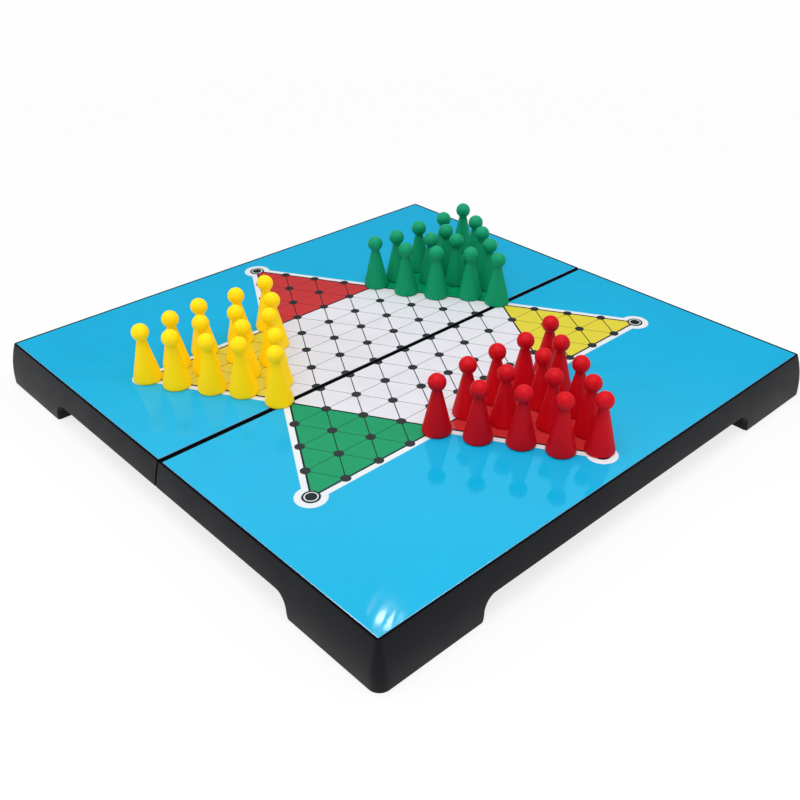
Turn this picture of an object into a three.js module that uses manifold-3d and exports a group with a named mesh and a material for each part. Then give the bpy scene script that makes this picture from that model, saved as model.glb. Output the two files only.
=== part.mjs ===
// Folding chinese checkers set, open on its feet with its pegs standing on the board.
// Millimetres, +Z up, the origin on the floor under the middle of the fold. X runs along the fold. The north
// half is at +Y and the south half, the same mouldings turned end for end, at -Y.
import * as THREE from 'three';
import { mergeVertices } from 'three/addons/utils/BufferGeometryUtils.js';
import Module from 'manifold-3d';

// The open board.
const BOARD_LENGTH = 248.1;
const BOARD_WIDTH = 250;
const BOARD_HEIGHT = 19.2;

// The skirt: it leans out from a thin rim at the film to its full swell, and stands upright at the foot.
const SWELL = 4.1;
const RIM = 0.9;
const FOOT_UPRIGHT = 2.2;
const FOOT_EDGE = 0.8;
const FOOT_EDGE_INSET = 0.25;
const FILM_CORNER = 0.4;
const WALL = 2.2;
const DECK = 2;
const CORNER_STEPS = 5;
const SWELL_SHARES = [1, 0.8, 0.6, 0.42, 0.27, 0.13, 0];

// The arched openings between the feet.
const FOOT_LENGTH = 45;
const ARCH_BAND = 10.3;
const ARCH_FILLET = 5.6;
const ARCH_SLANT = 0.45;
const FOOT_WEB = 1.8;
const FILLET_STEPS = 5;

// The print and the steel behind it.
const FILM = 0.4;
const SHEET = 0.5;
const SEAM_GAP = 0.3;
const SEAM_BAND = 1.1;

// The hinge under the fold.
const KNUCKLE_RADIUS = 1.5;
const KNUCKLE_LENGTH = 8;
const KNUCKLE_GAP = 0.4;
const KNUCKLE_WEB = 1.1;
const KNUCKLE_SWEEP = 0.6;
const FLOOR_CLEARANCE = 0.1;
const HINGE_SET_BACK = 38.05;
const PIN_RADIUS = 0.75;
const PIN_CLEARANCE = 0.1;
const ROUND_STEPS = 16;

// The storage trays.
const TRAY_SET_BACK = 13.5;
const TRAY_WALL = 1.2;
const TRAY_CELLS = 3;
const TRAY_LIFT = 0.4;
const FIT = 0.3;

// The pegs.
const DOT_SPACING = 15.55;
const PEG_HEIGHT = 25.4;
const PEG_BASE_RADIUS = 5.8;
const PEG_BASE_EDGE = 0.3;
const PEG_BASE_RIM = 1.3;
const PEG_NECK_RADIUS = 1.9;
const PEG_NECK_LENGTH = 0.45;
const PEG_HEAD_RADIUS = 3.55;
const PEG_STEPS = 12;
const HEAD_STEPS = 5;

const OVERRUN = 1;

// Where the pegs stand: the dot's column and row in dot spacings from the middle of the fold, then how far
// off the dot the peg stands, as shares of the spacing.
const YELLOW_SHARES = [
  [-6, 4, 0, -0.05],
  [-5, 4, -0.05, 0.05],
  [-4, 4, -0.1, 0.15],
  [-3, 4, 0, 0],
  [-2, 4, 0.05, 0.1],
  [-5.5, 3, -0.1, 0],
  [-4.5, 3, -0.1, 0.15],
  [-3.5, 3, -0.1, 0],
  [-2.5, 3, 0.05, -0.05],
  [-5, 2, -0.05, 0.05],
  [-4, 2, 0.05, 0.05],
  [-3, 2, -0.05, 0.1],
  [-4.5, 1, -0.05, 0.2],
  [-3.5, 1, -0.1, -0.05],
  [-4, 0, -0.15, 0.15],
];
const GREEN_SHARES = [
  [2, 4, 0.15, 0.05],
  [3, 4, -0.05, -0.05],
  [4, 4, -0.05, 0],
  [5, 4, 0.05, 0],
  [6, 4, 0.05, 0.1],
  [2.5, 3, 0, -0.1],
  [3.5, 3, 0.1, -0.05],
  [4.5, 3, -0.1, 0.1],
  [5.5, 3, 0.1, -0.05],
  [3, 2, 0, -0.05],
  [4, 2, 0.1, 0.2],
  [5, 2, 0.1, 0.05],
  [3.5, 1, 0.2, 0.05],
  [4.5, 1, 0.1, 0.1],
  [4, 0, 0, 0.15],
];
const RED_SHARES = [
  [-2, -4, -0.15, -0.05],
  [-1, -4, -0.05, 0],
  [0, -4, -0.05, -0.05],
  [1, -4, -0.1, -0.15],
  [2, -4, 0.05, 0],
  [-1.5, -5, -0.15, -0.1],
  [-0.5, -5, -0.15, -0.05],
  [0.5, -5, 0.1, -0.15],
  [1.5, -5, -0.05, 0],
  [-1, -6, -0.05, -0.1],
  [0, -6, 0.05, -0.1],
  [1, -6, 0, -0.15],
  [-0.5, -7, -0.1, -0.1],
  [0.5, -7, 0, -0.05],
  [0, -8, 0.1, 0.15],
];

// What follows from them.
const halfLength = BOARD_LENGTH / 2;
const halfWidth = BOARD_WIDTH / 2;
const seamFace = SEAM_GAP / 2;
const seamInside = seamFace + WALL;
const filmNear = seamFace + SEAM_BAND;
const filmHalfLength = halfLength - SWELL;
const filmFar = halfWidth - SWELL;
const filmBottom = BOARD_HEIGHT - FILM;
const sheetBottom = filmBottom - SHEET;
const deckBottom = sheetBottom - DECK;
const axisHeight = FLOOR_CLEARANCE + KNUCKLE_RADIUS;
const seamWallBottom = axisHeight + KNUCKLE_RADIUS + KNUCKLE_SWEEP;
const archTop = BOARD_HEIGHT - ARCH_BAND;
const trayHalfLength = halfLength - TRAY_SET_BACK;
const trayFar = halfWidth - TRAY_SET_BACK;
const trayNear = seamInside + FIT;
const trayRim = axisHeight + TRAY_LIFT;
const hingeOffset = halfLength - HINGE_SET_BACK;
const knucklePitch = KNUCKLE_LENGTH + KNUCKLE_GAP;

const wasm = await Module();
wasm.setup();

function solid(geometry) {
  const bare = geometry.clone();
  bare.deleteAttribute('normal');
  bare.deleteAttribute('uv');
  const merged = mergeVertices(bare);
  return new wasm.Manifold(new wasm.Mesh({
    numProp: 3,
    vertProperties: Float32Array.from(merged.attributes.position.array),
    triVerts: Uint32Array.from(merged.index.array),
  }));
}

function geometryOf(body) {
  const mesh = body.getMesh();
  const geometry = new THREE.BufferGeometry();
  geometry.setAttribute('position', new THREE.BufferAttribute(Float32Array.from(mesh.vertProperties), 3));
  geometry.setIndex(new THREE.BufferAttribute(Uint32Array.from(mesh.triVerts), 1));
  geometry.computeVertexNormals();
  return geometry;
}

// A closed body over rings of points, from the lowest to the highest, each anticlockwise from above.
function loft(rings) {
  const count = rings[0].length;
  const index = [];
  for (let level = 0; level + 1 < rings.length; level += 1) {
    for (let k = 0; k < count; k += 1) {
      const a = level * count + k;
      const b = level * count + ((k + 1) % count);
      index.push(a, b, b + count, a, b + count, a + count);
    }
  }
  const top = (rings.length - 1) * count;
  for (let k = 1; k + 1 < count; k += 1) {
    index.push(0, k + 1, k);
    index.push(top, top + k, top + k + 1);
  }
  const geometry = new THREE.BufferGeometry();
  geometry.setAttribute('position', new THREE.Float32BufferAttribute(rings.flat(2), 3));
  geometry.setIndex(index);
  return geometry;
}

function block([x0, x1], [y0, y1], [z0, z1]) {
  const ring = (z) => [[x0, y0, z], [x1, y0, z], [x1, y1, z], [x0, y1, z]];
  return loft([ring(z0), ring(z1)]);
}

function cut(x, y, z) {
  return solid(block(x, y, z));
}

// How far the skirt stands out past the film's edge at a depth under the board's top.
function overhang(depth) {
  const reach = BOARD_HEIGHT - FOOT_UPRIGHT;
  const left = Math.max(1 - depth / reach, 0);
  return SWELL - (SWELL - RIM) * left * left;
}

function skirtRing(out, inset, z) {
  const radius = Math.max(FILM_CORNER + out - inset, FILM_CORNER);
  const alongX = filmHalfLength + out - inset - radius;
  const alongY = filmFar + out - inset - radius;
  const corners = [[1, 1], [-1, 1], [-1, -1], [1, -1]];
  return corners.flatMap(([sx, sy], corner) => {
    const points = [];
    for (let k = 0; k <= CORNER_STEPS; k += 1) {
      const angle = (Math.PI / 2) * (corner + k / CORNER_STEPS);
      points.push([
        sx * alongX + radius * Math.cos(angle),
        sy * alongY + radius * Math.sin(angle),
        z,
      ]);
    }
    return points;
  });
}

// The skirt's body from the floor to the top, or the room inside it from under the floor to the deck.
function skirtBody() {
  const reach = BOARD_HEIGHT - FOOT_UPRIGHT;
  const rings = [
    skirtRing(SWELL - FOOT_EDGE_INSET, 0, 0),
    skirtRing(SWELL, 0, FOOT_EDGE),
  ];
  for (const share of SWELL_SHARES) {
    const depth = reach * share;
    rings.push(skirtRing(overhang(depth), 0, BOARD_HEIGHT - depth));
  }
  return solid(loft(rings));
}

function skirtRoom() {
  const from = BOARD_HEIGHT - deckBottom;
  const reach = BOARD_HEIGHT - FOOT_UPRIGHT - from;
  const rings = [skirtRing(SWELL, WALL, -OVERRUN)];
  for (const share of SWELL_SHARES) {
    const depth = from + reach * share;
    rings.push(skirtRing(overhang(depth), WALL, BOARD_HEIGHT - depth));
  }
  return solid(loft(rings)).intersect(
    cut([-halfLength, halfLength], [seamInside, halfWidth], [-2 * OVERRUN, BOARD_HEIGHT]),
  );
}

// An arch's opening as a prism along Y, from one distance to the other, over feet that start at half the span.
function archOpening(span, from, to) {
  const slope = ARCH_SLANT / (archTop - ARCH_FILLET);
  const upright = span - ARCH_SLANT;
  const below = span + slope * OVERRUN;
  const shape = new THREE.Shape();
  shape.moveTo(-below, -OVERRUN);
  shape.lineTo(below, -OVERRUN);
  for (let k = 0; k <= FILLET_STEPS; k += 1) {
    const angle = (Math.PI / 2) * (k / FILLET_STEPS);
    shape.lineTo(
      upright - ARCH_FILLET + ARCH_FILLET * Math.cos(angle),
      archTop - ARCH_FILLET + ARCH_FILLET * Math.sin(angle),
    );
  }
  for (let k = FILLET_STEPS; k >= 0; k -= 1) {
    const angle = (Math.PI / 2) * (k / FILLET_STEPS);
    shape.lineTo(
      -upright + ARCH_FILLET - ARCH_FILLET * Math.cos(angle),
      archTop - ARCH_FILLET + ARCH_FILLET * Math.sin(angle),
    );
  }
  const prism = new THREE.ExtrudeGeometry(shape, { depth: to - from, bevelEnabled: false });
  prism.rotateX(Math.PI / 2);
  prism.translate(0, to, 0);
  return prism;
}

function rod(radius, x0, x1) {
  const geometry = new THREE.CylinderGeometry(radius, radius, x1 - x0, ROUND_STEPS);
  geometry.rotateZ(Math.PI / 2);
  geometry.translate((x0 + x1) / 2, 0, axisHeight);
  return geometry;
}

// The middles of this half's own knuckles: the outer two of the west hinge, the inner one of the east.
const knuckleMiddles = [
  -hingeOffset - knucklePitch,
  -hingeOffset + knucklePitch,
  hingeOffset,
];
const pinReach = knucklePitch + KNUCKLE_LENGTH / 2;

function shell() {
  const roomy = halfLength + OVERRUN;
  let body = skirtBody()
    .intersect(cut([-roomy, roomy], [seamFace, halfWidth + OVERRUN], [-OVERRUN, BOARD_HEIGHT + OVERRUN]));
  body = body.subtract(skirtRoom());

  // The webs that close the feet off inwards, beside the tray.
  const footX = halfLength - FOOT_LENGTH;
  const footY = halfWidth - FOOT_LENGTH;
  const webHeights = [-OVERRUN, deckBottom + DECK / 2];
  const intoWall = WALL / 2;
  const webs = [
    [[footX, footX + FOOT_WEB], [trayFar + FIT, filmFar + overhang(BOARD_HEIGHT) - intoWall]],
    [[-footX - FOOT_WEB, -footX], [trayFar + FIT, filmFar + overhang(BOARD_HEIGHT) - intoWall]],
    [[trayHalfLength + FIT, halfLength - intoWall], [footY, footY + FOOT_WEB]],
    [[-halfLength + intoWall, -trayHalfLength - FIT], [footY, footY + FOOT_WEB]],
  ];
  const envelope = skirtBody();
  for (const [x, y] of webs) {
    body = body.add(cut(x, y, webHeights).intersect(envelope));
  }

  body = body.subtract(cut(
    [-filmHalfLength, filmHalfLength],
    [filmNear, filmFar],
    [sheetBottom, BOARD_HEIGHT + OVERRUN],
  ));
  body = body.subtract(solid(archOpening(footX, trayFar + FIT, halfWidth + OVERRUN)));
  for (const turn of [Math.PI / 2, -Math.PI / 2]) {
    const side = archOpening(footY, trayHalfLength + FIT, halfLength + OVERRUN);
    side.rotateZ(turn);
    body = body.subtract(solid(side));
  }
  body = body.subtract(cut([-roomy, roomy], [-OVERRUN, seamInside + FIT], [-OVERRUN, seamWallBottom]));

  for (const middle of knuckleMiddles) {
    const x = [middle - KNUCKLE_LENGTH / 2, middle + KNUCKLE_LENGTH / 2];
    body = body.add(solid(rod(KNUCKLE_RADIUS, x[0], x[1])));
    body = body.add(cut(x, [seamFace, seamFace + KNUCKLE_WEB], [axisHeight, seamWallBottom + WALL / 2]));
    body = body.subtract(solid(rod(PIN_RADIUS + PIN_CLEARANCE, x[0] - OVERRUN, x[1] + OVERRUN)));
  }
  return geometryOf(body);
}

function plate(bottom, top) {
  return geometryOf(cut([-filmHalfLength, filmHalfLength], [filmNear, filmFar], [bottom, top]));
}

function tray() {
  let body = cut([-trayHalfLength, trayHalfLength], [trayNear, trayFar], [trayRim, deckBottom]);
  const cell = (2 * trayHalfLength - (TRAY_CELLS + 1) * TRAY_WALL) / TRAY_CELLS;
  for (let k = 0; k < TRAY_CELLS; k += 1) {
    const x = -trayHalfLength + TRAY_WALL + k * (cell + TRAY_WALL);
    body = body.subtract(cut(
      [x, x + cell],
      [trayNear + TRAY_WALL, trayFar - TRAY_WALL],
      [trayRim - OVERRUN, deckBottom - TRAY_WALL],
    ));
  }
  return geometryOf(body);
}

function peg() {
  const headMiddle = PEG_HEIGHT - PEG_HEAD_RADIUS;
  const neckAngle = -Math.acos(PEG_NECK_RADIUS / PEG_HEAD_RADIUS);
  const neckTop = headMiddle + PEG_HEAD_RADIUS * Math.sin(neckAngle);
  const profile = [
    [0, 0],
    [PEG_BASE_RADIUS - PEG_BASE_EDGE, 0],
    [PEG_BASE_RADIUS, PEG_BASE_EDGE],
    [PEG_BASE_RADIUS, PEG_BASE_RIM],
    [PEG_NECK_RADIUS, neckTop - PEG_NECK_LENGTH],
  ];
  for (let k = 0; k < HEAD_STEPS; k += 1) {
    const angle = neckAngle + (Math.PI / 2 - neckAngle) * (k / HEAD_STEPS);
    profile.push([PEG_HEAD_RADIUS * Math.cos(angle), headMiddle + PEG_HEAD_RADIUS * Math.sin(angle)]);
  }
  profile.push([0, PEG_HEIGHT]);
  const lathe = new THREE.LatheGeometry(profile.map(([r, z]) => new THREE.Vector2(r, z)), PEG_STEPS);
  lathe.rotateX(Math.PI / 2);
  return geometryOf(solid(lathe));
}

function material(color, roughness, metalness) {
  return new THREE.MeshStandardMaterial({ color, roughness, metalness });
}

const blackPlastic = material(0x303134, 0.42, 0);
const linerPlastic = material(0x3a3c40, 0.6, 0);
const bluePrint = material(0x2fb6e4, 0.22, 0);
const steel = material(0xb4b8bc, 0.35, 1);
const yellowPlastic = material(0xf7da1a, 0.4, 0);
const greenPlastic = material(0x1e9560, 0.4, 0);
const redPlastic = material(0xd01c22, 0.4, 0);

const set = new THREE.Group();
const north = new THREE.Group();
const south = new THREE.Group();
south.rotation.z = Math.PI;
set.add(north, south);

function place(parent, name, geometry, look) {
  const mesh = new THREE.Mesh(geometry, look);
  mesh.name = name;
  parent.add(mesh);
  return mesh;
}

const shellGeometry = shell();
const sheetGeometry = plate(sheetBottom, filmBottom);
const filmGeometry = plate(filmBottom, BOARD_HEIGHT);
const trayGeometry = tray();
const pinGeometry = geometryOf(solid(rod(PIN_RADIUS, -hingeOffset - pinReach, -hingeOffset + pinReach)));
const pegGeometry = peg();

for (const [half, side, end] of [[north, 'north', 'west'], [south, 'south', 'east']]) {
  place(half, `half_shell_${side}`, shellGeometry, blackPlastic);
  place(half, `steel_sheet_${side}`, sheetGeometry, steel);
  place(half, `surface_film_${side}`, filmGeometry, bluePrint);
  place(half, `storage_tray_${side}`, trayGeometry, linerPlastic);
  place(half, `hinge_pin_${end}`, pinGeometry, steel);
}

const rowPitch = DOT_SPACING * Math.sin(Math.PI / 3);
for (const [colour, places, look] of [
  ['yellow', YELLOW_SHARES, yellowPlastic],
  ['green', GREEN_SHARES, greenPlastic],
  ['red', RED_SHARES, redPlastic],
]) {
  places.forEach(([column, row, offX, offY], k) => {
    const stand = place(set, `peg_${colour}_${String(k + 1).padStart(2, '0')}`, pegGeometry, look);
    stand.position.set(
      DOT_SPACING * (column + offX),
      rowPitch * row + filmNear * Math.sign(row) + DOT_SPACING * offY,
      BOARD_HEIGHT,
    );
  });
}

export default set;
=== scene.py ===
"""Folding chinese checkers set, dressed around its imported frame. Metres, +Z up, X along the fold.

Everything on the board but the pegs is the same on both halves, turned end for end, so that each piece is
made once for the north half and turned half way round for the south one.
"""

import math

import bmesh
import bpy
from mathutils import Matrix, Vector


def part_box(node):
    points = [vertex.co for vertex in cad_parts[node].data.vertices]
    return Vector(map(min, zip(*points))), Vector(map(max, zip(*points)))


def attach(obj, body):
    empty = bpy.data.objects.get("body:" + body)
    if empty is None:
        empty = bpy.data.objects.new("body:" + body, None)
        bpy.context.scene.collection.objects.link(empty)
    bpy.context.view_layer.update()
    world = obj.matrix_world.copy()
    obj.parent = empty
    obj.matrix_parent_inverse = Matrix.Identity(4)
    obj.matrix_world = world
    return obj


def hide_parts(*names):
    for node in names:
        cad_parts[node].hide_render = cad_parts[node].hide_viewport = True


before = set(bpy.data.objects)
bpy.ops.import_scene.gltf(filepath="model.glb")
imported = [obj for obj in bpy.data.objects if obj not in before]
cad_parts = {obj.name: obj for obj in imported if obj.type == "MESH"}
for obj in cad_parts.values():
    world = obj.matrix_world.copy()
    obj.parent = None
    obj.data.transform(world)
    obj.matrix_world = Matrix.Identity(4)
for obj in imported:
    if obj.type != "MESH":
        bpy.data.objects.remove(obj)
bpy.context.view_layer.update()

MM = 0.001
QUARTER = math.pi / 2
THIRD = math.pi / 3
HALF_TURN = Matrix.Rotation(math.pi, 4, "Z")

# The case, as its solids have it, and the sizes of its mouldings.
_, SHELL_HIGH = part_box("half_shell_north")
FILM_LOW, FILM_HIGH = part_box("surface_film_north")
SHEET_LOW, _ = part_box("steel_sheet_north")
TRAY_LOW, TRAY_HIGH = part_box("storage_tray_north")
PIN_LOW, PIN_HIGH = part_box("hinge_pin_west")
HALF_LENGTH = SHELL_HIGH.x
HALF_WIDTH = SHELL_HIGH.y
TOP = SHELL_HIGH.z
FILM_HALF_LENGTH = FILM_HIGH.x
FILM_NEAR = FILM_LOW.y
FILM_FAR = FILM_HIGH.y
DECK_BOTTOM = TRAY_HIGH.z
SWELL = HALF_LENGTH - FILM_HALF_LENGTH
RIM = 0.9 * MM
FOOT_UPRIGHT = 2.2 * MM
WALL = 2.2 * MM
FILM_CORNER = 0.4 * MM
FOOT_LENGTH = 45 * MM
FOOT_WEB = 1.8 * MM
ARCH_TOP = TOP - 10.3 * MM
ARCH_FILLET = 5.6 * MM
ARCH_SLANT = 0.45 * MM
FOOT_CORNER = 0.9 * MM
EDGE = 0.45 * MM
INNER_EDGE = 0.3 * MM
RIM_EDGE = 0.16 * MM
RIM_CUT_SHARE = 0.3
FILM_EDGE = 0.3 * MM
DECK_LIP = 12 * MM
FIT = 0.3 * MM
LAP = 0.05 * MM
CORNER_STEPS = 12
SWELL_STEPS = 16
INNER_STEPS = 8
WEB_STEPS = 8

# Half of the gap along the fold. It stands wider than in the solids, as the line across the board does.
SEAM_FACE = 0.25 * MM
SEAM_EDGE = 0.25 * MM

# The trays under the deck.
TRAY_CELLS = 3
TRAY_WALL = 1.2 * MM
TRAY_EDGE = 0.25 * MM
CELL_CORNER = 2.4 * MM

# The hinge.
AXIS_HEIGHT = (PIN_LOW.z + PIN_HIGH.z) / 2
PIN_RADIUS = (PIN_HIGH.z - PIN_LOW.z) / 2
PIN_FIT = 0.1 * MM
PIN_SIDES = 24
PIN_POLE = 0.01 * MM
TUBE_CHAMFER = 0.12 * MM
KNUCKLE_SIDES = 32
KNUCKLE_RADIUS = 1.5 * MM
KNUCKLE_BORE = PIN_RADIUS + PIN_FIT
KNUCKLE_CLEARANCE = 0.6 * MM
KNUCKLE_LENGTH = 8 * MM
KNUCKLE_PITCH = 8.4 * MM
KNUCKLE_WEB = 1.1 * MM
SEAM_WALL_BOTTOM = AXIS_HEIGHT + KNUCKLE_RADIUS + KNUCKLE_CLEARANCE
HINGE_MIDDLE = -(PIN_LOW.x + PIN_HIGH.x) / 2

# The print: its lattice, the thickness that each layer of ink adds, and where the dots are cut at the fold.
SPACING = 15.55 * MM
ROW = SPACING * math.sin(THIRD)
STAR_SIDE = 4
INK = 0.03 * MM
LEVELS = [FILM_HIGH.z + k * INK for k in range(7)]
FILM_GAP = 0.06 * MM
FILM_UPWARD = 0.99
FOLD_CUT = -0.001 * MM
NO_CUT = -1.0
BORDER = 2.8 * MM
TARGET_DISC = 6.1 * MM
TARGET_RING = 3.45 * MM
TARGET_RING_WIDTH = 0.8 * MM
TARGET_DOT = 2.2 * MM
TARGET_SIDES = 48
DOT_RADIUS = 2 * MM
DOT_SIDES = 32
HAIR_LINE = 0.18 * MM
FINE_LINE = 0.4 * MM
STRONG_LINE = 0.75 * MM
FINE_HEADING = THIRD

# The pegs.
PEG_COUNT = 15
PEG_SIDES = 56
PEG_SIDE_STEPS = 9
PEG_COLLAR_STEPS = 4
PEG_HEAD_STEPS = 20
PEG_TURN = 2.4
PEG_BASE_RADIUS = 5.8 * MM
PEG_FOOT_EDGE = 0.6 * MM
PEG_RIM = 1.3 * MM
PEG_NECK_RADIUS = 1.9 * MM
PEG_NECK_HEIGHT = 18.4 * MM
PEG_HEAD_RADIUS = 3.55 * MM
PEG_HEIGHT = 25.4 * MM
COLLAR_FLARE = 0.18 * MM
COLLAR_DIP = 0.02 * MM
MAGNET_RADIUS = 3 * MM
MAGNET_DEPTH = 1.5 * MM
MAGNET_EDGE = 0.2 * MM
MAGNET_FIT = 0.15 * MM
MAGNET_SIDES = 32
RECESS_EDGE = 0.2 * MM

# Points nearer than this are merged: at the poles of a turned body, and in any other mesh.
POLE_MERGE = 0.001 * MM
MESH_MERGE = 0.0005 * MM

# The finishes: how large each pattern is, how deep its grain goes and what it does to the sheen.
NOISE_LOW = 0.3
NOISE_HIGH = 0.7
FLOW_SIZE = 14 * MM
GRAIN_STRENGTH = 0.6
GRAIN_SHEEN = 0.04
CASE_GRAIN = 0.28 * MM
CASE_GRAIN_DEPTH = 0.012 * MM
TRAY_GRAIN = 0.5 * MM
TRAY_GRAIN_DEPTH = 0.02 * MM
PEG_GRAIN = 0.6 * MM
PEG_GRAIN_DEPTH = 0.01 * MM
BRUSHING = 0.25 * MM
BRUSHING_DEPTH = 0.01 * MM
BRUSHING_DRAWN = 0.04
BRUSHING_STRENGTH = 0.4
BRUSHING_GLOSSIER = 0.08
BRUSHING_DULLER = 0.1
DULL_SPOT = 6 * MM
SPOT_DARK = 0.9
SPOT_LIGHT = 1.05

# The film's gloss: its duller patches, its specks, the ripple drawn out along one heading, and its tint.
FILM_PATCH = 32 * MM
PATCH_GLOSSIER = 0.015
PATCH_DULLER = 0.02
FILM_SPECK = 0.35 * MM
SPECK_SHEEN = 0.02
FILM_RIPPLE = 4 * MM
FILM_RIPPLE_DEPTH = 0.04 * MM
FILM_LAY = math.radians(31)
FILM_DRAWN = 6
FILM_TINT = (0.3, 1, 1, 1)


class Wire:
    """An output socket of a node graph; arithmetic on it adds Math nodes."""

    def __init__(self, graph, socket):
        self.graph = graph
        self.socket = socket

    def maths(self, operation, first, second):
        return self.graph.wire("ShaderNodeMath", {"operation": operation}, {0: first, 1: second})

    def larger(self, other):
        return self.maths("MAXIMUM", self, other)

    def __add__(self, other):
        return self.maths("ADD", self, other)

    def __sub__(self, other):
        return self.maths("SUBTRACT", self, other)

    def __rsub__(self, other):
        return self.maths("SUBTRACT", other, self)

    def __mul__(self, other):
        return self.maths("MULTIPLY", self, other)

    __radd__ = __add__
    __rmul__ = __mul__


class Graph:
    """A node tree of a material, the world or Geometry Nodes, filled node by node."""

    def __init__(self, tree):
        self.tree = tree

    def node(self, kind, settings=None, sockets=None):
        made = self.tree.nodes.new(kind)
        for key, value in (settings or {}).items():
            setattr(made, key, value)
        for key, value in (sockets or {}).items():
            if isinstance(value, Wire):
                self.tree.links.new(value.socket, made.inputs[key])
            else:
                made.inputs[key].default_value = value
        return made

    def wire(self, kind, settings=None, sockets=None, output=0):
        return Wire(self, self.node(kind, settings, sockets).outputs[output])


class Material(Graph):
    """A shader graph on Object coordinates."""

    def __init__(self, name):
        self.material = bpy.data.materials.new(name)
        self.material.use_nodes = True
        super().__init__(self.material.node_tree)
        self.tree.nodes.clear()
        self.place = self.wire("ShaderNodeTexCoord", output="Object")

    def noise(self, size, detail=2.0, roughness=0.5):
        sockets = {"Vector": self.place, "Scale": 1 / size, "Detail": detail, "Roughness": roughness}
        return self.wire("ShaderNodeTexNoise", None, sockets)

    def spread(self, factor, low, high):
        """The middle of a noise's range, stretched from low to high."""
        return self.wire("ShaderNodeMapRange", None, {
            "Value": factor, "From Min": NOISE_LOW, "From Max": NOISE_HIGH, "To Min": low, "To Max": high,
        })

    def blend(self, factor, first, second):
        """From the first colour to the second, which are sockets 6 and 7 of the Mix node."""
        return self.wire("ShaderNodeMix", {"data_type": "RGBA"}, {0: factor, 6: first, 7: second}, output=2)

    def shade(self, **sockets):
        """Ends the material in one shader with these sockets, an underscore for each space."""
        named = {key.replace("_", " "): value for key, value in sockets.items()}
        specular = named.pop("Specular", None)
        if specular is not None:
            named["Specular IOR Level"] = specular
        surface = self.wire("ShaderNodeBsdfPrincipled", None, named)
        self.node("ShaderNodeOutputMaterial", None, {"Surface": surface})
        return self.material


def seen_rays(graph):
    """The rays that show the background, each 0 or 1: the camera's, and those off gloss or through glass."""
    rays = graph.node("ShaderNodeLightPath")
    camera, gloss, glass = (Wire(graph, rays.outputs[label])
                            for label in ("Is Camera Ray", "Is Glossy Ray", "Is Transmission Ray"))
    return camera, gloss.larger(glass)


def linear(code):
    """An sRGB colour code as linear red, green, blue and alpha."""
    channels = [int(code[k:k + 2], 16) / 255 for k in (0, 2, 4)]
    return [c / 12.92 if c <= 0.04045 else ((c + 0.055) / 1.055) ** 2.4 for c in channels] + [1]


def toned(code, gain):
    """A colour code made lighter or darker."""
    return [min(c * gain, 1) for c in linear(code)[:3]] + [1]


def moulded(name, code, roughness, grain, depth, mottle=0.06, sheen_patch=0.05, specular=0.5, painted_glow=0):
    """Injection-moulded plastic: an even colour with a faint flow mottle and the mould's fine grain.
    The painted glow is an emission that only the camera and mirrored rays see: painted light that brightens
    the plastic, and lights nothing else."""
    m = Material(name)
    flow = m.noise(FLOW_SIZE, detail=3)
    fine = m.noise(grain, detail=2.5, roughness=0.6)
    tone = m.blend(m.spread(flow, 0, 1), toned(code, 1 - mottle), toned(code, 1 + mottle))
    gloss = m.spread(flow, roughness - sheen_patch, roughness + sheen_patch) + fine * GRAIN_SHEEN
    bump = m.wire("ShaderNodeBump", None, {"Height": fine, "Distance": depth, "Strength": GRAIN_STRENGTH})
    named = {}
    # Painted glow: the plastic's own colour given off as emission, for camera and mirrored rays only.
    if painted_glow:
        camera_ray, mirror_ray = seen_rays(m)
        seen = camera_ray.larger(mirror_ray)
        named = {"Emission_Color": m.blend(seen, (0, 0, 0, 1), tone), "Emission_Strength": painted_glow}
    return m.shade(Base_Color=tone, Roughness=gloss, Normal=bump, Specular=specular, **named)


def printed(name, code, roughness=0.05, mottle=0.025, specular=0.45, tint=FILM_TINT):
    """Ink under the film's gloss: the faint ripple of a film laid on from one side, and duller patches."""
    m = Material(name)
    patch = m.noise(FILM_PATCH, detail=4)
    laid = m.wire("ShaderNodeMapping", {"vector_type": "TEXTURE"},
                  {"Vector": m.place, "Rotation": (0, 0, FILM_LAY), "Scale": (FILM_DRAWN, 1, 1)})
    ripple = m.wire("ShaderNodeTexNoise", None, {"Vector": laid, "Scale": 1 / FILM_RIPPLE, "Detail": 1.5})
    speck = m.noise(FILM_SPECK, detail=1)
    tone = m.blend(m.spread(patch, 0, 1), toned(code, 1 - mottle), toned(code, 1 + mottle))
    gloss = m.spread(patch, roughness - PATCH_GLOSSIER, roughness + PATCH_DULLER) + speck * SPECK_SHEEN
    bump = m.wire("ShaderNodeBump", None, {"Height": ripple, "Distance": FILM_RIPPLE_DEPTH, "Strength": 1.0})
    return m.shade(Base_Color=tone, Roughness=gloss, Normal=bump, Specular=specular, Specular_Tint=tint)


def plated(name, code, roughness):
    """Plated steel: fine brushing along X under small dull spots."""
    m = Material(name)
    stretched = m.wire("ShaderNodeMapping", None, {"Vector": m.place, "Scale": (BRUSHING_DRAWN, 1, 1)})
    brush = m.wire("ShaderNodeTexNoise", None, {"Vector": stretched, "Scale": 1 / BRUSHING, "Detail": 3.0})
    spot = m.noise(DULL_SPOT, detail=3)
    tone = m.blend(m.spread(spot, 0, 1), toned(code, SPOT_DARK), toned(code, SPOT_LIGHT))
    gloss = m.spread(brush, roughness - BRUSHING_GLOSSIER, roughness + BRUSHING_DULLER)
    bump = m.wire("ShaderNodeBump", None,
                  {"Height": brush, "Distance": BRUSHING_DEPTH, "Strength": BRUSHING_STRENGTH})
    return m.shade(Base_Color=tone, Roughness=gloss, Normal=bump, Metallic=1.0)


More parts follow.
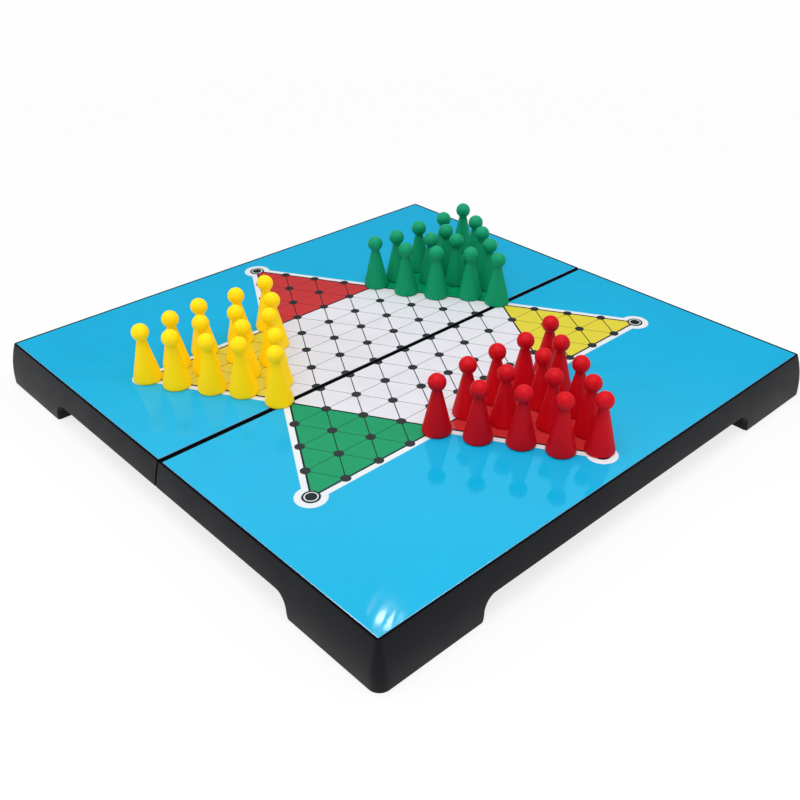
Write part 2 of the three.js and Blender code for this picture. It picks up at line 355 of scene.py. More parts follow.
CASE = moulded("case_black", "0E1015", 0.42, CASE_GRAIN, CASE_GRAIN_DEPTH, mottle=0.1, specular=0.14)
# The rim and the band along the fold: a duller black, darker than the case as painted shade, the shade that a
# groove would hold.
CASE_RIM_AND_SHADE = moulded("case_rim", "06070C", 0.6, CASE_GRAIN, CASE_GRAIN_DEPTH, mottle=0.1, specular=0.02)
LINER = moulded("tray_charcoal", "3A3C40", 0.55, TRAY_GRAIN, TRAY_GRAIN_DEPTH)
STEEL = plated("plated_steel", "B4B8BC", 0.32)
MAGNET = plated("magnet_nickel", "8C8F93", 0.38)
BLUE = printed("print_blue", "02B2E2", specular=0.52)
WHITE = printed("print_white", "E9EDF1", specular=0.36)
PALE = printed("print_pale", "E5E4EC")
RED = printed("print_red", "C93033")
GREEN = printed("print_green", "029760", specular=0.36)
YELLOW = printed("print_yellow", "E3D43A")
INK_BLACK = printed("print_black", "15161A", specular=0.25)
INK_DOT = printed("print_dot", "2A2B2F", specular=0.2)
# The film's sides: a paler blue than the print, partly the cut edge's own colour and partly painted highlight
# of the light that the edges catch.
FILM_SIDE_AND_SHEEN = printed("film_side", "62AFD2", roughness=0.2, specular=0.6, tint=(1, 1, 1, 1))
PEG_FINISH = {
    # The yellow pegs have a painted glow that brightens them as more light would.
    "yellow": moulded("peg_yellow", "FBD20A", 0.5, PEG_GRAIN, PEG_GRAIN_DEPTH, mottle=0.03, specular=0.18,
                      painted_glow=0.3),
    "green": moulded("peg_green", "0BA171", 0.48, PEG_GRAIN, PEG_GRAIN_DEPTH, mottle=0.05, specular=0.16),
    "red": moulded("peg_red", "D6071A", 0.48, PEG_GRAIN, PEG_GRAIN_DEPTH, mottle=0.05, specular=0.16),
}


def link(name, data):
    """A new object in the scene, of a mesh, a lamp or a camera."""
    made = bpy.data.objects.new(name, data)
    bpy.context.scene.collection.objects.link(made)
    return made


def mesh_of(name, bm, *finishes, sharp=32):
    """A mesh from a bmesh, which it frees: smooth, but for the edges that turn more than the angle."""
    bmesh.ops.remove_doubles(bm, verts=bm.verts, dist=MESH_MERGE)
    bmesh.ops.dissolve_degenerate(bm, edges=bm.edges, dist=MESH_MERGE)
    bmesh.ops.recalc_face_normals(bm, faces=bm.faces)
    for face in bm.faces:
        face.smooth = True
    for edge in bm.edges:
        turned_far = len(edge.link_faces) != 2 or edge.calc_face_angle(0) > math.radians(sharp)
        edge.smooth = not turned_far
    rough = bpy.data.meshes.new(name)
    bm.to_mesh(rough)
    bm.free()
    for finish in finishes:
        rough.materials.append(finish)
    # Flat faces stay flat to the light: each corner's normal leans to its larger faces.
    holder = link(name, rough)
    modifier = holder.modifiers.new("weighted", "WEIGHTED_NORMAL")
    modifier.keep_sharp = True
    depsgraph = bpy.context.evaluated_depsgraph_get()
    mesh = bpy.data.meshes.new_from_object(holder.evaluated_get(depsgraph), depsgraph=depsgraph)
    bpy.data.objects.remove(holder)
    bpy.data.meshes.remove(rough)
    return mesh


def sweep(bm, loops, closed=False, finish=0):
    """Joins closed loops of points into a skin. An open run of loops is capped at both ends."""
    rings = [[bm.verts.new(point) for point in loop] for loop in loops]
    count = len(rings[0])
    pairs = list(zip(rings, rings[1:]))
    if closed:
        pairs.append((rings[-1], rings[0]))
    faces = [
        bm.faces.new((a[k], a[(k + 1) % count], b[(k + 1) % count], b[k]))
        for a, b in pairs
        for k in range(count)
    ]
    if not closed:
        faces += [bm.faces.new(rings[0][::-1]), bm.faces.new(rings[-1])]
    for face in faces:
        face.material_index = finish
    return faces


def block(bm, low, high, edge=0, steps=2, finish=0):
    """A box between two corners, its edges rounded."""
    before = set(bm.faces)
    size = [b - a for a, b in zip(low, high)]
    middle = Vector([(a + b) / 2 for a, b in zip(low, high)])
    matrix = Matrix.Translation(middle) @ Matrix.Diagonal((*size, 1))
    made = bmesh.ops.create_cube(bm, size=1, matrix=matrix)
    if edge:
        edges = list({e for v in made["verts"] for e in v.link_edges})
        bmesh.ops.bevel(
            bm, geom=edges, offset=edge, segments=steps, profile=0.5, affect="EDGES", clamp_overlap=True
        )
    for face in set(bm.faces) - before:
        face.material_index = finish


def prism(bm, outline, z0, z1, finish=0):
    """A flat plate over an outline, anticlockwise from above."""
    sweep(bm, [[(x, y, z0) for x, y in outline], [(x, y, z1) for x, y in outline]], finish=finish)


def both_halves(name, mesh, slot, **nodes):
    """Puts a north piece on its half and the same piece, turned half way round, on the other."""
    turned = mesh.copy()
    turned.transform(HALF_TURN)
    for half, own in (("north", mesh), ("south", turned)):
        made = link(f"{name}_{half}", own)
        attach(made, f"{half}_half")
        if half in nodes:
            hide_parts(nodes[half])


def quarter_turn(steps, first=0):
    """The angles of a quarter turn, by even steps."""
    return [QUARTER * k / steps for k in range(first, steps + 1)]


def overhang(z):
    """How far the skirt stands out past the film's edge at a height."""
    left = max(1 - (TOP - z) / (TOP - FOOT_UPRIGHT), 0)
    return SWELL - (SWELL - RIM) * left * left


def arch_edge(span, start, end):
    """The skirt's lower edge along a wall as (along, height, direction into the wall), by distance along."""
    upright = span - ARCH_SLANT
    spring = ARCH_TOP - ARCH_FILLET
    lean = math.atan2(ARCH_SLANT, spring)
    into_end = (math.cos(lean), math.sin(lean))
    right = [(0, ARCH_TOP, (0, 1))]
    for a in quarter_turn(steps=12):
        normal = (math.sin(a), math.cos(a))
        right.append((
            upright - ARCH_FILLET + ARCH_FILLET * normal[0],
            spring + ARCH_FILLET * normal[1],
            normal,
        ))
    right.append((upright + ARCH_SLANT / 2, spring / 2, into_end))
    for a in quarter_turn(steps=6):
        normal = (math.cos(a), math.sin(a))
        right.append((
            span + FOOT_CORNER * (1 - normal[0]),
            FOOT_CORNER * (1 - normal[1]),
            normal,
        ))
    right.append((span + FOOT_LENGTH / 2, 0, (0, 1)))
    left = [(-t, z, (-nt, nz)) for t, z, (nt, nz) in reversed(right[1:])]
    inside = [e for e in left + right if start < e[0] < end]
    first = (start, ARCH_TOP if abs(start) < upright else 0, (0, 1))
    last = (end, ARCH_TOP if abs(end) < upright else 0, (0, 1))
    return [first, *inside, last]


def skirt_section(t, z, normal):
    """A closed section of the wall, rim and deck's lip over one point of the lower edge, as
    (distance along, distance out from the film's edge, height)."""
    along, up = normal
    edge = (t + EDGE * along, z + EDGE * up)
    rim_top = TOP - RIM_EDGE
    cut = RIM_CUT_SHARE * RIM_EDGE
    section = [
        (edge[0], 0, rim_top),
        (edge[0], cut, TOP - cut),
        (edge[0], RIM_EDGE, TOP),
        (edge[0], RIM - RIM_EDGE, TOP),
        (edge[0], RIM - cut, TOP - cut),
    ]
    for k in range(SWELL_STEPS + 1):
        height = rim_top + (edge[1] - rim_top) * k / SWELL_STEPS
        section.append((edge[0], overhang(height), height))
    out = overhang(edge[1])
    for a in quarter_turn(steps=3, first=1):
        rise = EDGE * (1 - math.sin(a))
        section.append((t + rise * along, out - EDGE + EDGE * math.cos(a), z + rise * up))
    for a in quarter_turn(steps=2):
        rise = INNER_EDGE * (1 - math.cos(a))
        inner = out - WALL + INNER_EDGE * (1 - math.sin(a))
        section.append((t + rise * along, inner, z + rise * up))
    start = z + INNER_EDGE * up
    for k in range(1, INNER_STEPS + 1):
        height = start + (DECK_BOTTOM - start) * k / INNER_STEPS
        section.append((edge[0], overhang(height) - WALL, height))
    section += [
        (edge[0], -DECK_LIP, DECK_BOTTOM),
        (edge[0], -DECK_LIP, SHEET_LOW.z),
        (edge[0], 0, SHEET_LOW.z),
    ]
    return section


def skirt(bm):
    """The half's three outer walls with their arches and feet, the rim and the deck's outer lip."""
    straight_x = FILM_HALF_LENGTH - FILM_CORNER
    straight_y = FILM_FAR - FILM_CORNER
    skirt_end = SEAM_FACE + SEAM_EDGE

    def on_side(t, out, z, normal, tangent, reach, limit):
        """A point of a section on its wall. What lies inside the film's edge is mitred at the corners."""
        slip = min(out, 0)
        t = max(min(t, limit + slip), -limit - slip)
        return (
            normal[0] * (reach + out) + tangent[0] * t,
            normal[1] * (reach + out) + tangent[1] * t,
            z,
        )

    walls = [
        ((1, 0), (0, 1), FILM_HALF_LENGTH, straight_y, HALF_WIDTH - FOOT_LENGTH, skirt_end, straight_y),
        ((0, 1), (-1, 0), FILM_FAR, straight_x, HALF_LENGTH - FOOT_LENGTH, -straight_x, straight_x),
        ((-1, 0), (0, -1), FILM_HALF_LENGTH, straight_y, HALF_WIDTH - FOOT_LENGTH, -straight_y, -skirt_end),
    ]
    loops = []
    for number, (normal, tangent, reach, limit, span, start, end) in enumerate(walls):
        for t, z, into in arch_edge(span, start, end):
            section = skirt_section(t, z, into)
            loops.append([on_side(a, out, h, normal, tangent, reach, limit) for a, out, h in section])
        if number == len(walls) - 1:
            break
        # The rounded corner to the next wall.
        side = 1 - 2 * number
        for k in range(1, CORNER_STEPS):
            a = QUARTER * (number + k / CORNER_STEPS)
            loop = []
            for _, out, h in skirt_section(0, 0, (0, 1)):
                radius = max(FILM_CORNER + out, FILM_CORNER)
                loop.append((
                    side * (FILM_HALF_LENGTH + out - radius) + radius * math.cos(a),
                    FILM_FAR + out - radius + radius * math.sin(a),
                    h,
                ))
            loops.append(loop)
    # Faces at the rim's top take the darker finish of painted shade.
    for face in sweep(bm, loops):
        if face.calc_center_median().z > TOP - RIM_EDGE / 2:
            face.material_index = 1


def tube(bm, x0, x1, inner, outer, sides):
    """A round tube along the hinge's axis, its outer edges chamfered."""
    chamfer = TUBE_CHAMFER
    loops = []
    for k in range(sides):
        a = 2 * math.pi * k / sides
        section = [
            (x0 + chamfer, outer), (x1 - chamfer, outer), (x1, outer - chamfer),
            (x1, inner), (x0, inner), (x0, outer - chamfer),
        ]
        loops.append([(x, r * math.cos(a), AXIS_HEIGHT + r * math.sin(a)) for x, r in section])
    sweep(bm, loops, closed=True)


def web(bm, along, inner, place):
    """A web that closes a foot's end off, from beside the tray to the middle of the wall's thickness."""
    spring = ARCH_TOP - ARCH_FILLET
    edge = INNER_EDGE
    near = along + LAP
    far = along + FOOT_WEB
    loops = []
    for t, bottom in ((near, edge), (near + edge, 0), (far - edge, 0), (far, edge)):
        between = [TOP * k / WEB_STEPS for k in range(1, WEB_STEPS - 1)]
        heights = [bottom, *between, (DECK_BOTTOM + SHEET_LOW.z) / 2]
        outline = [(inner, bottom)] + [(overhang(z) - WALL / 2, z) for z in heights] + [(inner, heights[-1])]
        loops.append([place(t - ARCH_SLANT * min(z / spring, 1), out, z) for out, z in outline])
    sweep(bm, loops)


def make_case():
    """A half's shell: the skirt, the deck, the wall down the fold, the foot webs and the knuckles."""
    bm = bmesh.new()
    skirt(bm)
    wall_end = FILM_HALF_LENGTH + LAP
    deck_end = FILM_HALF_LENGTH - DECK_LIP + LAP
    low_end = TRAY_HIGH.x + FIT
    # The deck, and the wall down the fold with the black band along the film, its top in the rim's darker
    # finish of painted shade.
    block(bm, (-deck_end, SEAM_FACE + WALL / 2, DECK_BOTTOM),
          (deck_end, FILM_FAR - DECK_LIP + LAP, SHEET_LOW.z))
    block(bm, (-wall_end, SEAM_FACE, ARCH_TOP), (wall_end, FILM_NEAR, TOP - INK), edge=RIM_EDGE, finish=1)
    block(bm, (-wall_end, SEAM_FACE, ARCH_TOP), (wall_end, SEAM_FACE + WALL, SHEET_LOW.z), edge=RIM_EDGE)
    block(bm, (-low_end, SEAM_FACE, SEAM_WALL_BOTTOM), (low_end, SEAM_FACE + WALL, DECK_BOTTOM),
          edge=INNER_EDGE)
    # The webs that close the feet off beside the tray.
    for side in (-1, 1):
        web(bm, HALF_LENGTH - FOOT_LENGTH, TRAY_HIGH.y + FIT - FILM_FAR,
            lambda t, out, z: (side * t, FILM_FAR + out, z))
        web(bm, HALF_WIDTH - FOOT_LENGTH, TRAY_HIGH.x + FIT - FILM_HALF_LENGTH,
            lambda t, out, z: (side * (FILM_HALF_LENGTH + out), t, z))
    # The knuckles: two of this half's own on the west hinge and one on the east.
    for middle in (-HINGE_MIDDLE - KNUCKLE_PITCH, -HINGE_MIDDLE + KNUCKLE_PITCH, HINGE_MIDDLE):
        x0 = middle - KNUCKLE_LENGTH / 2
        x1 = middle + KNUCKLE_LENGTH / 2
        tube(bm, x0, x1, KNUCKLE_BORE, KNUCKLE_RADIUS, KNUCKLE_SIDES)
        block(bm, (x0, SEAM_FACE, AXIS_HEIGHT + KNUCKLE_BORE),
              (x1, SEAM_FACE + KNUCKLE_WEB, SEAM_WALL_BOTTOM + WALL / 2), edge=RIM_EDGE)
    mesh = mesh_of("case", bm, CASE, CASE_RIM_AND_SHADE)
    both_halves("case", mesh, "case_plastic", north="half_shell_north", south="half_shell_south")


def make_pins():
    """A steel pin, a tube whose bore is too fine to see."""
    bm = bmesh.new()
    tube(bm, PIN_LOW.x, PIN_HIGH.x, PIN_POLE, PIN_RADIUS, PIN_SIDES)
    mesh = mesh_of("pin", bm, STEEL)
    both_halves("pin", mesh, "steel", north="hinge_pin_west", south="hinge_pin_east")


def make_trays():
    """A pressed tray that opens downwards, with three cells whose corners are rounded."""
    wall = TRAY_WALL
    bm = bmesh.new()
    block(bm, TRAY_LOW, TRAY_HIGH, edge=TRAY_EDGE)
    body = link("tray_body", mesh_of("tray_body", bm, LINER))
    bm = bmesh.new()
    cell = (TRAY_HIGH.x - TRAY_LOW.x - (TRAY_CELLS + 1) * wall) / TRAY_CELLS
    for k in range(TRAY_CELLS):
        x = TRAY_LOW.x + wall + k * (cell + wall)
        low = (x, TRAY_LOW.y + wall, TRAY_LOW.z - 3 * wall)
        high = (x + cell, TRAY_HIGH.y - wall, TRAY_HIGH.z - wall)
        block(bm, low, high, edge=CELL_CORNER, steps=5)
    cells = link("tray_cells", mesh_of("tray_cells", bm))
    modifier = body.modifiers.new("cells", "BOOLEAN")
    modifier.object = cells
    modifier.operation = "DIFFERENCE"
    modifier.solver = "EXACT"
    depsgraph = bpy.context.evaluated_depsgraph_get()
    mesh = bpy.data.meshes.new_from_object(body.evaluated_get(depsgraph), depsgraph=depsgraph)
    for spent in (body, cells):
        bpy.data.objects.remove(spent)
    bm = bmesh.new()
    bm.from_mesh(mesh)
    both_halves("tray", mesh_of("tray", bm, LINER), "tray_plastic",
                north="storage_tray_north", south="storage_tray_south")


def star_points():
    """The star's printed points on the north film, as (column, row)."""
    points = []
    for row in range(2 * STAR_SIDE + 1):
        reach = STAR_SIDE + row / 2 if row <= STAR_SIDE else STAR_SIDE - row / 2
        points += [(-reach + k, row) for k in range(round(2 * reach) + 1)]
    return points


def at(column, row):
    """The place of a column and row of the star on the north film."""
    return (column * SPACING, FILM_NEAR + row * ROW)


def star_strokes():
    """The unit strokes between neighbouring points, as (x, y, heading, kind)."""
    points = set(star_points())
    strokes = []
    for column, row in sorted(points):
        for step, rise, heading in ((1, 0, 0), (0.5, 1, THIRD), (-0.5, 1, 2 * THIRD)):
            end = (column + step, row + rise)
            if end not in points or (row == 0 and rise == 0):
                continue
            outline = (
                (rise == 0 and row == STAR_SIDE)
                or (step < 0 and abs(column + row / 2) == STAR_SIDE)
                or (step > 0 and rise and abs(column - row / 2) == STAR_SIDE)
            )
            kind = "outline" if outline else "fine" if heading == FINE_HEADING else "hair"
            x0, y0 = at(column, row)
            x1, y1 = at(*end)
            strokes.append(((x0 + x1) / 2, (y0 + y1) / 2, heading, kind))
    return strokes


def geometry_tree(name, inputs):
    """A Geometry Nodes tree with these named inputs, as its graph and the wires of its inputs."""
    tree = bpy.data.node_groups.new(name, "GeometryNodeTree")
    tree.interface.new_socket("Geometry", in_out="INPUT", socket_type="NodeSocketGeometry")
    for label, (kind, value) in inputs.items():
        socket = tree.interface.new_socket(label, in_out="INPUT", socket_type=f"NodeSocket{kind}")
        if value is not None:
            socket.default_value = value
    tree.interface.new_socket("Geometry", in_out="OUTPUT", socket_type="NodeSocketGeometry")
    graph = Graph(tree)
    source = graph.node("NodeGroupInput")
    return graph, {label: Wire(graph, source.outputs[label]) for label in ("Geometry", *inputs)}


def finish_tree(graph, instances, finish):
    """Ends a tree: its instances made real, and dressed in a material."""
    real = graph.wire("GeometryNodeRealizeInstances", None, {"Geometry": instances})
    dressed = graph.wire("GeometryNodeSetMaterial", None, {"Geometry": real, "Material": finish})
    graph.node("NodeGroupOutput", None, {"Geometry": dressed})
    return graph.tree


def grown(tree, seed, **values):
    """The plain mesh that a Geometry Nodes tree makes of a seed mesh."""
    holder = link("seed", seed)
    modifier = holder.modifiers.new("grow", "NODES")
    modifier.node_group = tree
    for item in tree.interface.items_tree:
        key = item.name.lower().replace(" ", "_")
        if item.in_out == "INPUT" and key in values:
            modifier[item.identifier] = values[key]
    depsgraph = bpy.context.evaluated_depsgraph_get()
    mesh = bpy.data.meshes.new_from_object(holder.evaluated_get(depsgraph), depsgraph=depsgraph)
    bpy.data.objects.remove(holder)
    bpy.data.meshes.remove(seed)
    return mesh


def seed_points(points, **attributes):
    """A mesh of bare points, each attribute a number for every point."""
    mesh = bpy.data.meshes.new("seed")
    mesh.from_pydata([tuple(p) for p in points], [], [])
    for name, values in attributes.items():
        mesh.attributes.new(name, "FLOAT", "POINT").data.foreach_set("value", values)
    return mesh


def dot_tree():
    """Discs of ink on points. Cut At takes away what is below it across the fold, for half dots."""
    graph, wires = geometry_tree("printed_dots", {
        "Dot Radius": ("Float", DOT_RADIUS),
        "Thickness": ("Float", INK),
        "Sides": ("Int", DOT_SIDES),
        "Cut At": ("Float", NO_CUT),
        "Ink": ("Material", None),
    })
    disc = graph.wire("GeometryNodeMeshCircle", {"fill_type": "TRIANGLE_FAN"},
                      {"Vertices": wires["Sides"], "Radius": wires["Dot Radius"]})
    position = graph.wire("GeometryNodeInputPosition")
    across = graph.wire("ShaderNodeSeparateXYZ", None, {0: position}, output=1)
    below = across.maths("LESS_THAN", across, wires["Cut At"])
    kept = graph.wire("GeometryNodeDeleteGeometry", {"domain": "POINT"},
                      {"Geometry": disc, "Selection": below})
    lift = graph.wire("ShaderNodeCombineXYZ", None, {2: wires["Thickness"]})
    base = graph.wire("GeometryNodeFlipFaces", None, {0: kept})
    raised = graph.wire("GeometryNodeExtrudeMesh", {"mode": "FACES"},
                        {"Mesh": kept, "Offset": lift, "Offset Scale": 1.0, "Individual": False})
    whole = graph.node("GeometryNodeJoinGeometry")
    for part in (raised, base):
        graph.tree.links.new(part.socket, whole.inputs[0])
    placed = graph.wire("GeometryNodeInstanceOnPoints", None,
                        {"Points": wires["Geometry"], "Instance": Wire(graph, whole.outputs[0])})
    return finish_tree(graph, placed, wires["Ink"])


def stroke_tree():
    """Strips of ink on points, each turned by its point's heading."""
    graph, wires = geometry_tree("printed_strokes", {
        "Length": ("Float", SPACING),
        "Width": ("Float", FINE_LINE),
        "Thickness": ("Float", INK),
        "Ink": ("Material", None),
    })
    size = graph.wire("ShaderNodeCombineXYZ", None,
                      {0: wires["Length"], 1: wires["Width"], 2: wires["Thickness"]})
    strip = graph.wire("GeometryNodeMeshCube", None, {"Size": size})
    heading = graph.wire("GeometryNodeInputNamedAttribute", {"data_type": "FLOAT"}, {"Name": "heading"})
    turn = graph.wire("ShaderNodeCombineXYZ", None, {2: heading})
    placed = graph.wire("GeometryNodeInstanceOnPoints", None,
                        {"Points": wires["Geometry"], "Instance": strip, "Rotation": turn})
    return finish_tree(graph, placed, wires["Ink"])


def turned_tree():
    """A body of revolution about Z: ring by ring, a grid takes its radius and height from the profile."""
    graph, wires = geometry_tree("turned_body", {
        "Sides": ("Int", PEG_SIDES),
        "Finish": ("Material", None),
    })
    rings = graph.wire("GeometryNodeAttributeDomainSize", None, {"Geometry": wires["Geometry"]})
    grid = graph.wire("GeometryNodeMeshGrid", None, {
        "Size X": 1.0, "Size Y": 1.0, "Vertices X": wires["Sides"] + 1, "Vertices Y": rings,
    })
    position = graph.wire("GeometryNodeInputPosition")
    # The grid runs from -0.5 to 0.5 both ways: round the body along X, and up the profile along Y.
    spot = graph.node("ShaderNodeSeparateXYZ", None, {0: position})
    angle = (Wire(graph, spot.outputs[0]) + 0.5) * (2 * math.pi)
    ring = (Wire(graph, spot.outputs[1]) + 0.5) * (rings - 1)
    nearest = ring.maths("ROUND", ring, 0)
    sample = graph.wire("GeometryNodeSampleIndex", {"data_type": "FLOAT_VECTOR"}, {
        "Geometry": wires["Geometry"], "Value": position, "Index": nearest,
    })
    profile = graph.node("ShaderNodeSeparateXYZ", None, {0: sample})
    radius = Wire(graph, profile.outputs[0])
    there = graph.wire("ShaderNodeCombineXYZ", None, {
        0: radius * angle.maths("COSINE", angle, 0),
        1: radius * angle.maths("SINE", angle, 0),
        2: Wire(graph, profile.outputs[2]),
    })
    skin = graph.wire("GeometryNodeSetPosition", None, {"Geometry": grid, "Position": there})
    sealed = graph.wire("GeometryNodeMergeByDistance", None, {"Geometry": skin, "Distance": POLE_MERGE})
    return finish_tree(graph, sealed, wires["Finish"])


def round_tip(tip, first, last):
    """The white disc's edge round a tip of the star, from one side's heading to the other's."""
    slip = math.asin(BORDER / TARGET_DISC)
    steps = 32
    points = []
    for k in range(steps + 1):
        a = first + slip + (last - first - 2 * slip) * k / steps
        points.append((tip[0] + TARGET_DISC * math.cos(a), tip[1] + TARGET_DISC * math.sin(a)))
    return points


def make_films():
    """The film, blue from edge to edge, its sides paler: the cut edge's own lighter blue, made paler still as
    painted highlight.
    """
    film = bmesh.new()
    block(film, (FILM_LOW.x + FILM_GAP, FILM_LOW.y + FILM_GAP / 2, FILM_LOW.z),
          (FILM_HIGH.x - FILM_GAP, FILM_HIGH.y - FILM_GAP, FILM_HIGH.z), edge=FILM_EDGE, steps=1)
    for face in film.faces:
        face.material_index = 0 if face.normal.z > FILM_UPWARD else 1
    both_halves("film", mesh_of("film", film, BLUE, FILM_SIDE_AND_SHEEN), "printed_film",
                north="surface_film_north", south="surface_film_south")


def make_fills():
    """The white ground of the star with its border, then the fills of colour on it."""
    side = STAR_SIDE
    west, east, tip = at(-side, 0), at(side, 0), at(0, 2 * side)
    left, right = at(-side / 2, side), at(side / 2, side)
    far_left, far_right = at(-side * 1.5, side), at(side * 1.5, side)
    lean = BORDER / math.cos(THIRD / 2)
    run = BORDER * math.tan(THIRD / 2)
    fills = bmesh.new()
    border = [
        (west[0] - lean, west[1]), (east[0] + lean, east[1]),
        *round_tip(far_right, -2 * THIRD, 3 * THIRD),
        (right[0] + run, right[1] + BORDER),
        *round_tip(tip, -THIRD, 4 * THIRD),
        (left[0] - run, left[1] + BORDER),
        *round_tip(far_left, 0, 5 * THIRD),
    ]
    prism(fills, border, LEVELS[0], LEVELS[1])
    for finish, corners in enumerate((
        [west, east, right, left],
        [left, right, tip],
        [east, far_right, right],
        [west, left, far_left],
    ), start=1):
        prism(fills, corners, LEVELS[0], LEVELS[2], finish)
    both_halves("fills", mesh_of("fills", fills, WHITE, PALE, RED, GREEN, YELLOW), "printed_film")


def make_lattice():
    """The strokes between the points, the dots on them, and the ringed dots on the star's tips."""
    strokes = stroke_tree()
    spots = star_strokes()
    for name, kind, width, ink, height in (
        ("hair_lines", "hair", HAIR_LINE, INK_BLACK, LEVELS[2]),
        ("fine_lines", "fine", FINE_LINE, INK_BLACK, LEVELS[2]),
        ("outlines", "outline", STRONG_LINE, INK_BLACK, LEVELS[3]),
    ):
        chosen = [s for s in spots if s[3] == kind]
        seed = seed_points([(x, y, height) for x, y, _, _ in chosen], heading=[s[2] for s in chosen])
        mesh = grown(strokes, seed, length=SPACING + 0.5 * width, width=width, thickness=2 * INK, ink=ink)
        both_halves(name, mesh, "printed_film")

    dots = dot_tree()
    whole = [(*at(*p), LEVELS[3]) for p in star_points() if p[1] > 0]
    halved = [(*at(*p), LEVELS[3]) for p in star_points() if p[1] == 0]
    both_halves("dots", grown(dots, seed_points(whole), ink=INK_DOT, thickness=2 * INK), "printed_film")
    both_halves("half_dots",
                grown(dots, seed_points(halved), ink=INK_DOT, thickness=2 * INK, cut_at=FOLD_CUT),
                "printed_film")
    tips = [at(-STAR_SIDE * 1.5, STAR_SIDE), at(STAR_SIDE * 1.5, STAR_SIDE), at(0, 2 * STAR_SIDE)]
    for name, radius, ink, height in (
        ("tip_rings", TARGET_RING, INK_BLACK, LEVELS[4]),
        ("tip_grounds", TARGET_RING - TARGET_RING_WIDTH, WHITE, LEVELS[5]),
        ("tip_dots", TARGET_DOT, INK_BLACK, LEVELS[6]),
    ):
        seed = seed_points([(x, y, height) for x, y in tips])
        both_halves(name, grown(dots, seed, dot_radius=radius, sides=TARGET_SIDES, ink=ink), "printed_film")


def peg_profile():
    """A peg's outline from the middle of its foot to the top of its head, as radius and height."""
    edge = PEG_FOOT_EDGE
    recess = MAGNET_RADIUS + MAGNET_FIT
    points = [(0, MAGNET_DEPTH), (recess, MAGNET_DEPTH), (recess, RECESS_EDGE), (recess + RECESS_EDGE, 0)]
    for a in quarter_turn(steps=6):
        points.append((PEG_BASE_RADIUS - edge + edge * math.sin(a), edge - edge * math.cos(a)))
    for k in range(PEG_SIDE_STEPS + 1):
        share = k / PEG_SIDE_STEPS
        points.append((
            PEG_BASE_RADIUS + (PEG_NECK_RADIUS - PEG_BASE_RADIUS) * share,
            PEG_RIM + (PEG_NECK_HEIGHT - PEG_RIM) * share,
        ))
    middle = PEG_HEIGHT - PEG_HEAD_RADIUS
    start = -math.acos((PEG_NECK_RADIUS + COLLAR_FLARE) / PEG_HEAD_RADIUS)
    first = (PEG_HEAD_RADIUS * math.cos(start), middle + PEG_HEAD_RADIUS * math.sin(start))
    neck = points[-1]
    # The neck flares into the head by a quadratic curve.
    bend = (PEG_NECK_RADIUS - COLLAR_DIP, (neck[1] + first[1]) / 2)
    for k in range(1, PEG_COLLAR_STEPS):
        share = k / PEG_COLLAR_STEPS
        points.append(tuple(
            (1 - share) ** 2 * neck[i] + 2 * share * (1 - share) * bend[i] + share ** 2 * first[i]
            for i in range(2)
        ))
    for k in range(PEG_HEAD_STEPS):
        a = start + (QUARTER - start) * k / PEG_HEAD_STEPS
        points.append((PEG_HEAD_RADIUS * math.cos(a), middle + PEG_HEAD_RADIUS * math.sin(a)))
    points.append((0, PEG_HEIGHT))
    return points


def make_pegs():
    """The pegs of each colour, each with its magnet, each turned by another angle."""
    turned = turned_tree()
    edge = MAGNET_EDGE
    magnet = [
        (0, edge / 2), (MAGNET_RADIUS - edge, edge / 2), (MAGNET_RADIUS, 1.5 * edge),
        (MAGNET_RADIUS, MAGNET_DEPTH - edge), (0, MAGNET_DEPTH - edge),
    ]
    for colour, finish in PEG_FINISH.items():
        shape = bmesh.new()
        shape.from_mesh(grown(turned, seed_points([(r, 0, z) for r, z in peg_profile()]), finish=finish))
        core = bmesh.new()
        core.from_mesh(grown(turned, seed_points([(r, 0, z) for r, z in magnet]), sides=MAGNET_SIDES,
                             finish=MAGNET))
        core_mesh = mesh_of("core", core)
        count = len(shape.faces)
        shape.from_mesh(core_mesh)
        for number, face in enumerate(shape.faces):
            face.material_index = 0 if number < count else 1
        pattern = mesh_of(f"peg_{colour}", shape, finish, MAGNET, sharp=50)
        for number in range(1, PEG_COUNT + 1):
            node = f"peg_{colour}_{number:02d}"
            low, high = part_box(node)
            own = pattern.copy()
            turn = Matrix.Rotation(number * PEG_TURN, 4, "Z")
            own.transform(Matrix.Translation(((low.x + high.x) / 2, (low.y + high.y) / 2, low.z)) @ turn)
            made = link(f"{colour}_peg_{number:02d}", own)
            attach(made, f"body_{node}")
            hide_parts(node)


make_case()
make_pins()
make_trays()
make_films()
make_fills()
make_lattice()
make_pegs()

# The steel sheets keep their solids, with the plated finish.
for name in ("steel_sheet_north", "steel_sheet_south"):
    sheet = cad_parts[name]
    sheet.data.materials.clear()
    sheet.data.materials.append(STEEL)

# The studio: a pale floor and sky that the camera sees as white but for the board's shadow, two broad lamps
# and a disc over the board, and three small lamps for the glint and the bright edges.
REACH = 8.0
FLOOR_COLOUR = (0.95, 0.95, 0.95, 1)
FLOOR_WHITE_SHARE = 0.78
FADE_START = 0.35
FADE_END = 1.2
BACKDROP_TOP = (0.2, 0.36)
CEILING = (0.47, 0.63)
SKY_GAIN = 0.85
SKY_LEAST = 0.05
PURE_WHITE = (1, 1, 1, 1)
PANEL_SIZE = 0.4
PANEL_POWER = 0.6
PANEL_PLACE = (-0.12, -0.12, 0.55)

# The camera, from the fit of the printed points and the board's corners.
PHOTO = 800
AZIMUTH = math.radians(-43.82)
ELEVATION = math.radians(32.53)
ROLL = math.radians(0.11)
DISTANCE = 25.37 * SPACING
AIM = Vector((-1.2664 * SPACING, -2.4874 * SPACING, TOP))
FOCAL_PIXELS = 984.38
CENTRE_X = 431.6
SENSOR = 36.0
NEAR_CLIP = 0.01


